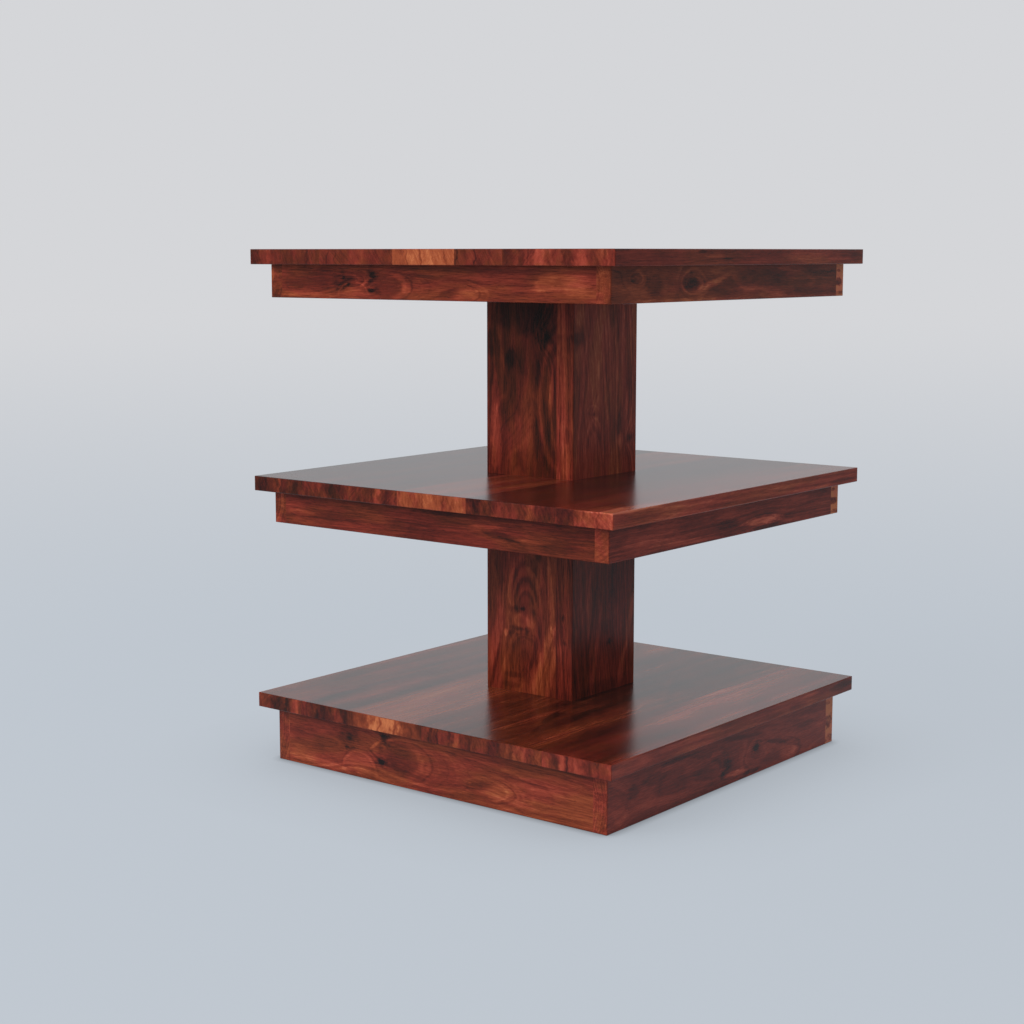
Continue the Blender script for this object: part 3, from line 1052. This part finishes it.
def start_screw_tree():
    tree = bpy.data.node_groups.new("wood screws", "GeometryNodeTree")
    sockets = tree.interface
    sockets.new_socket(name="Geometry", in_out="INPUT", socket_type="NodeSocketGeometry")
    for label, size in SCREW_SIZES.items():
        sockets.new_socket(name=label, in_out="INPUT", socket_type="NodeSocketFloat").default_value = size
    seed = sockets.new_socket(name="Seed", in_out="INPUT", socket_type="NodeSocketInt")
    seed.default_value = SCREW_SEED
    sockets.new_socket(name="Material", in_out="INPUT", socket_type="NodeSocketMaterial")
    sockets.new_socket(name="Geometry", in_out="OUTPUT", socket_type="NodeSocketGeometry")
    return tree, tree.nodes.new("NodeGroupInput").outputs


def raised(tree, geometry, height):
    return add(tree, "GeometryNodeTransform", {
        "Geometry": geometry,
        "Translation": add(tree, "CombineXYZ", {"Z": height}).outputs[0]}).outputs[0]


def add_cone(tree, foot, top, start, height):
    """A closed round piece from start up, with a radius at its foot and one at its top."""
    cone = add(tree, "GeometryNodeMeshCone", {
        "Vertices": SCREW_SIDES, "Radius Bottom": foot, "Radius Top": top, "Depth": height})
    return raised(tree, cone.outputs["Mesh"], start)


def make_head(tree, given, half):
    """The head, with a cross cut into it by two boxes."""
    head = add_cone(tree, half["Head"], half["Shank"], 0.0, given["Head Height"])
    cut = add(tree, "GeometryNodeMeshBoolean", {"Mesh 1": head}, operation="DIFFERENCE")
    deep = calc(tree, "MULTIPLY", given["Recess Depth"], 2.0)
    for first, second in (("Recess", "Recess Width"), ("Recess Width", "Recess")):
        size = add(tree, "CombineXYZ", {"X": given[first], "Y": given[second], "Z": deep}).outputs[0]
        cutter = add(tree, "GeometryNodeMeshCube", {"Size": size}).outputs["Mesh"]
        tree.links.new(cutter, cut.inputs["Mesh 2"])
    return cut.outputs["Mesh"]


print("sizes of the screw tree:", sorted(SCREW_SIZES))

# %% [markdown]
# The thread is a small square ridge swept along a spiral. The finished screw is then put on every point,
# turned the way that the point's direction says, and given a turn of its own, because nobody lines the
# crosses up.

# %% Finish the screw tree
THREAD_STEPS = 12
RIDGE_SIDES = 4
RIDGE_RADIUS = 0.0005
RIDGE_INSET = 0.0006


def make_thread(tree, half, pitch, start, height):
    """A ridge that winds up round the core from start."""
    reach = calc(tree, "SUBTRACT", half["Shank"], RIDGE_INSET)
    spiral = add(tree, "GeometryNodeCurveSpiral", {
        "Resolution": THREAD_STEPS, "Rotations": calc(tree, "DIVIDE", height, pitch),
        "Start Radius": reach, "End Radius": reach, "Height": height}).outputs[0]
    ridge = add(tree, "GeometryNodeCurvePrimitiveCircle", {
        "Resolution": RIDGE_SIDES, "Radius": RIDGE_RADIUS}).outputs["Curve"]
    thread = add(tree, "GeometryNodeCurveToMesh", {
        "Curve": spiral, "Profile Curve": ridge, "Fill Caps": True}).outputs[0]
    return raised(tree, thread, start)


def screw_turns(tree, seed):
    """Each point's rotation: along its direction, and then by chance up to a quarter turn."""
    direction = add(tree, "GeometryNodeInputNamedAttribute", {"Name": "direction"},
                    data_type="FLOAT_VECTOR").outputs["Attribute"]
    aimed = add(tree, "FunctionNodeAlignRotationToVector", {"Vector": direction}, axis="Z").outputs[0]
    turn = add(tree, "FunctionNodeRandomValue", {"Seed": seed}, data_type="FLOAT").outputs["Value"]
    spin = add(tree, "FunctionNodeAxisAngleToRotation", {
        "Axis": DIRECTIONS["Z"], "Angle": calc(tree, "MULTIPLY", turn, math.pi / 2)}).outputs[0]
    return add(tree, "FunctionNodeRotateRotation", {0: aimed, 1: spin},
               rotation_space="LOCAL").outputs[0]


def make_screw_tree():
    tree, given = start_screw_tree()
    half = {label: calc(tree, "MULTIPLY", given[label], 0.5) for label in ("Head", "Shank", "Core")}
    head_height = given["Head Height"]
    straight = calc(tree, "SUBTRACT", calc(tree, "SUBTRACT", given["Length"], head_height), given["Tip"])
    neck_height = calc(tree, "MULTIPLY", straight, NECK_SHARE)
    thread_height = calc(tree, "SUBTRACT", straight, neck_height)
    thread_start = calc(tree, "ADD", head_height, neck_height)
    tip_start = calc(tree, "SUBTRACT", given["Length"], given["Tip"])
    parts = (make_head(tree, given, half),
             add_cone(tree, half["Shank"], half["Shank"], head_height, neck_height),
             add_cone(tree, half["Core"], half["Core"], head_height, straight),
             add_cone(tree, half["Core"], 0.0, tip_start, given["Tip"]),
             make_thread(tree, half, given["Pitch"], thread_start, thread_height))
    screw = add(tree, "GeometryNodeJoinGeometry")
    for part in parts:
        tree.links.new(part, screw.inputs[0])
    points = add(tree, "GeometryNodeInstanceOnPoints", {
        "Points": given["Geometry"], "Instance": screw.outputs[0],
        "Rotation": screw_turns(tree, given["Seed"])}).outputs[0]
    real = add(tree, "GeometryNodeRealizeInstances", {"Geometry": points}).outputs[0]
    finished = add(tree, "GeometryNodeSetMaterial", {"Geometry": real, "Material": given["Material"]})
    add(tree, "NodeGroupOutput", {"Geometry": finished.outputs[0]})
    return tree


screw_tree = make_screw_tree()
screw_inputs = {item.name: item.identifier for item in screw_tree.interface.items_tree
                if item.in_out == "INPUT"}
print("inputs of the screw tree:", sorted(screw_inputs))

# %% [markdown]
# The screws are zinc-plated: a grey metal with a dull bloom that changes a little from spot to spot. One
# even grey would look like a toy's, so a fine noise mixes two greys and changes the gloss with them.

# %% Screw steel
ZINC_DARK = (0.50, 0.50, 0.48, 1.0)
ZINC_LIGHT = (0.66, 0.64, 0.58, 1.0)
BLOOM_SCALE = 900.0
BLOOM_FADE = (0.35, 0.65)
DULLNESS = (0.3, 0.7, 0.28, 0.46)
BLOOM_RELIEF = {"Strength": 0.1, "Distance": 0.0001}


def make_screw_steel():
    material, tree = new_material("zinc-plated steel")
    bloom = add(tree, "TexNoise", {"Vector": object_place(tree), "Scale": BLOOM_SCALE,
                                   "Detail": 3.0}).outputs["Fac"]
    colour = mix_colours(tree, smooth(tree, bloom, *BLOOM_FADE), ZINC_DARK, ZINC_LIGHT)
    relief = add(tree, "Bump", {**BLOOM_RELIEF, "Height": bloom})
    surface = add(tree, "BsdfPrincipled", {
        "Base Color": colour, "Metallic": 1.0, "Roughness": smooth(tree, bloom, *DULLNESS),
        "Normal": relief.outputs["Normal"]})
    add(tree, "OutputMaterial", {"Surface": surface.outputs[0]})
    return material


screw_steel = make_screw_steel()
print("screw steel:", screw_steel.name)

# %% [markdown]
# Each group of screws becomes one plain mesh. Its points carry the direction of their screws, the tree
# runs once for each length, and the results are joined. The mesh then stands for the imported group.

# %% Make the screws
def screws_mesh(found, length, seed):
    """The plain mesh of all the screws of one length."""
    chosen = [(place, direction) for place, direction, long in found if long == length]
    points = bpy.data.meshes.new("screw points")
    points.from_pydata([place for place, _ in chosen], [], [])
    attribute = points.attributes.new("direction", "FLOAT_VECTOR", "POINT")
    for entry, (_, direction) in zip(attribute.data, chosen):
        entry.vector = direction
    carrier = bpy.data.objects.new("screw points", points)
    bpy.context.scene.collection.objects.link(carrier)
    modifier = carrier.modifiers.new("screws", "NODES")
    modifier.node_group = screw_tree
    modifier[screw_inputs["Length"]] = length
    modifier[screw_inputs["Seed"]] = seed
    modifier[screw_inputs["Material"]] = screw_steel
    graph = bpy.context.evaluated_depsgraph_get()
    mesh = bpy.data.meshes.new_from_object(carrier.evaluated_get(graph), depsgraph=graph)
    bpy.data.objects.remove(carrier)
    return mesh


for seed, (name, found) in enumerate(screws.items()):
    joined = bmesh.new()
    for length in sorted({length for _, _, length in found}):
        joined.from_mesh(screws_mesh(found, length, seed))
    mesh = bpy.data.meshes.new("made_" + name)
    joined.to_mesh(mesh)
    joined.free()
    mesh.materials.append(screw_steel)
    piece = bpy.data.objects.new("made_" + name, mesh)
    bpy.context.scene.collection.objects.link(piece)
    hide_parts(name)
    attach(piece, "root")
    lowest = min(corner[2] for corner in piece.bound_box)
    print(piece.name, len(mesh.polygons), "faces, lowest Z in mm:", round(lowest * MM_PER_METRE, 2))

# %% [markdown]
# The table stands on a wide pale floor under a plain pale sky. Behind the table the studio is bright, and
# to its sides it is darker. Only gloss shows those sides. A sky as bright as it looks would light the
# wood too much. So what the camera sees of the floor and the sky isn't what lights the table, and both
# need to know which rays look at them.

# %% Studio light
SKY = (0.665, 0.672, 0.694, 1.0)
SKY_LIGHT_COLOUR = (0.90, 0.95, 1.0, 1.0)
SKY_LIGHT = 0.58
BRIGHT_SIDE = (-0.62, 0.785, 0.0)
DARK_SIDE_LEVEL = 0.5
STUDIO_FADE = (0.35, 0.85)
LEVEL_ONLY = (1.0, 1.0, 0.0)


def seen_directly(tree):
    """1 for the camera's own rays and for what shows in gloss, and 0 for the light on the object."""
    path = add(tree, "LightPath").outputs
    gloss = calc(tree, "MAXIMUM", path["Is Glossy Ray"], path["Is Transmission Ray"])
    return calc(tree, "MAXIMUM", path["Is Camera Ray"], gloss)


def studio_side(tree, direction):
    """How bright the studio is in a direction: 1 behind the table, and less at its sides for gloss."""
    level = vector_calc(tree, "NORMALIZE", vector_calc(tree, "MULTIPLY", direction, LEVEL_ONLY))
    towards = vector_calc(tree, "DOT_PRODUCT", level, BRIGHT_SIDE)
    side = smooth(tree, towards, *STUDIO_FADE, DARK_SIDE_LEVEL, 1.0)
    return calc(tree, "MAXIMUM", side, add(tree, "LightPath").outputs["Is Camera Ray"])


def make_sky():
    world = bpy.data.worlds.new("pale sky")
    bpy.context.scene.world = world
    world.use_nodes = True
    tree = world.node_tree
    tree.nodes.clear()
    light = add(tree, "Background", {"Color": SKY_LIGHT_COLOUR, "Strength": SKY_LIGHT})
    side = studio_side(tree, add(tree, "TexCoord").outputs["Generated"])
    seen = add(tree, "Background", {"Color": SKY, "Strength": side})
    both = add(tree, "MixShader", {0: seen_directly(tree), 1: light.outputs[0], 2: seen.outputs[0]})
    add(tree, "OutputWorld", {"Surface": both.outputs[0]})


make_sky()
print("sky light:", SKY_LIGHT)

# %% [markdown]
# The floor's own colour gives most of what the camera sees, and the rest is light that falls on it, so
# that the table keeps its soft shadow. Two Ambient Occlusion nodes deepen that shadow where little
# daylight gets in: a wide one round the table's foot, and a narrow one in the crack under it. The fades
# with distance are in powers of ten of a metre.

# %% Floor
FLOOR_NEAR = (0.537, 0.583, 0.640, 1.0)
FLOOR_RADIUS = 200.0
FLOOR_CORNERS = 96
FLOOR_OWN_LIGHT = 0.88
COLOUR_FADE = (-0.2, 1.2)
SIDE_FADE = (-0.4, 0.4)
CONTACT_SHADES = ((0.17, 0.33), (0.012, 0.7))
CONTACT_RAYS = 12


def contact_glow(tree):
    """How much of its own light the floor keeps near the table, for each reach in metres and shade."""
    glow = 1.0
    for reach, shade in CONTACT_SHADES:
        open_sky = add(tree, "AmbientOcclusion", {"Distance": reach}, samples=CONTACT_RAYS).outputs["AO"]
        kept = calc(tree, "MULTIPLY_ADD", open_sky, shade, 1.0 - shade)
        glow = calc(tree, "MULTIPLY", glow, kept)
    return glow


def make_floor():
    material, tree = new_material("pale floor")
    place = object_place(tree)
    decades = calc(tree, "LOGARITHM", vector_calc(tree, "LENGTH", place), 10.0)
    far = smooth(tree, decades, *COLOUR_FADE)
    colour = mix_colours(tree, far, FLOOR_NEAR, SKY)
    plain = add(tree, "BsdfDiffuse", {"Color": colour})
    away = smooth(tree, decades, *SIDE_FADE)
    sides = calc(tree, "MULTIPLY_ADD", calc(tree, "SUBTRACT", studio_side(tree, place), 1.0), away, 1.0)
    own = add(tree, "Emission", {"Color": colour,
                                 "Strength": calc(tree, "MULTIPLY", contact_glow(tree), sides)})
    own_share = calc(tree, "MULTIPLY_ADD", far, 1.0 - FLOOR_OWN_LIGHT, FLOOR_OWN_LIGHT)
    share = calc(tree, "MULTIPLY", seen_directly(tree), own_share)
    both = add(tree, "MixShader", {0: share, 1: plain.outputs[0], 2: own.outputs[0]})
    add(tree, "OutputMaterial", {"Surface": both.outputs[0]})
    bpy.ops.mesh.primitive_circle_add(vertices=FLOOR_CORNERS, radius=FLOOR_RADIUS, fill_type="NGON")
    floor = bpy.context.object
    floor.name = "floor"
    floor.data.materials.append(material)


make_floor()
print("floor radius (m):", FLOOR_RADIUS)

# %% [markdown]
# One large soft lamp stands low at the front left, so the front faces are the brightest and the right
# faces stay in the light of the sky. A sun would give hard shadows, and the photograph has soft ones. The
# lamp doesn't show in the lacquer.

# %% Lamp
LAMP_PLACE = Vector((-1.3, -2.5, 1.35))
LAMP_AIM = Vector((0.0, 0.0, 0.27))
LAMP_WIDTH = 1.8
LAMP_HEIGHT = 1.4
LAMP_POWER = 60.0

lamp_data = bpy.data.lights.new("front lamp", "AREA")
lamp_data.shape = "RECTANGLE"
lamp_data.size = LAMP_WIDTH
lamp_data.size_y = LAMP_HEIGHT
lamp_data.energy = LAMP_POWER
lamp = bpy.data.objects.new("front lamp", lamp_data)
lamp.location = LAMP_PLACE
lamp.rotation_euler = (LAMP_AIM - LAMP_PLACE).to_track_quat("-Z", "Y").to_euler()
lamp.visible_glossy = False
bpy.context.scene.collection.objects.link(lamp)
print("lamp to the table, in metres:", round((LAMP_AIM - LAMP_PLACE).length, 2))

# %% [markdown]
# The render is shown with the plain Standard view. Last, the size of the finished object is written
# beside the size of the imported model, so the two can be compared.

# %% Finish
bpy.context.scene.view_settings.view_transform = "Standard"
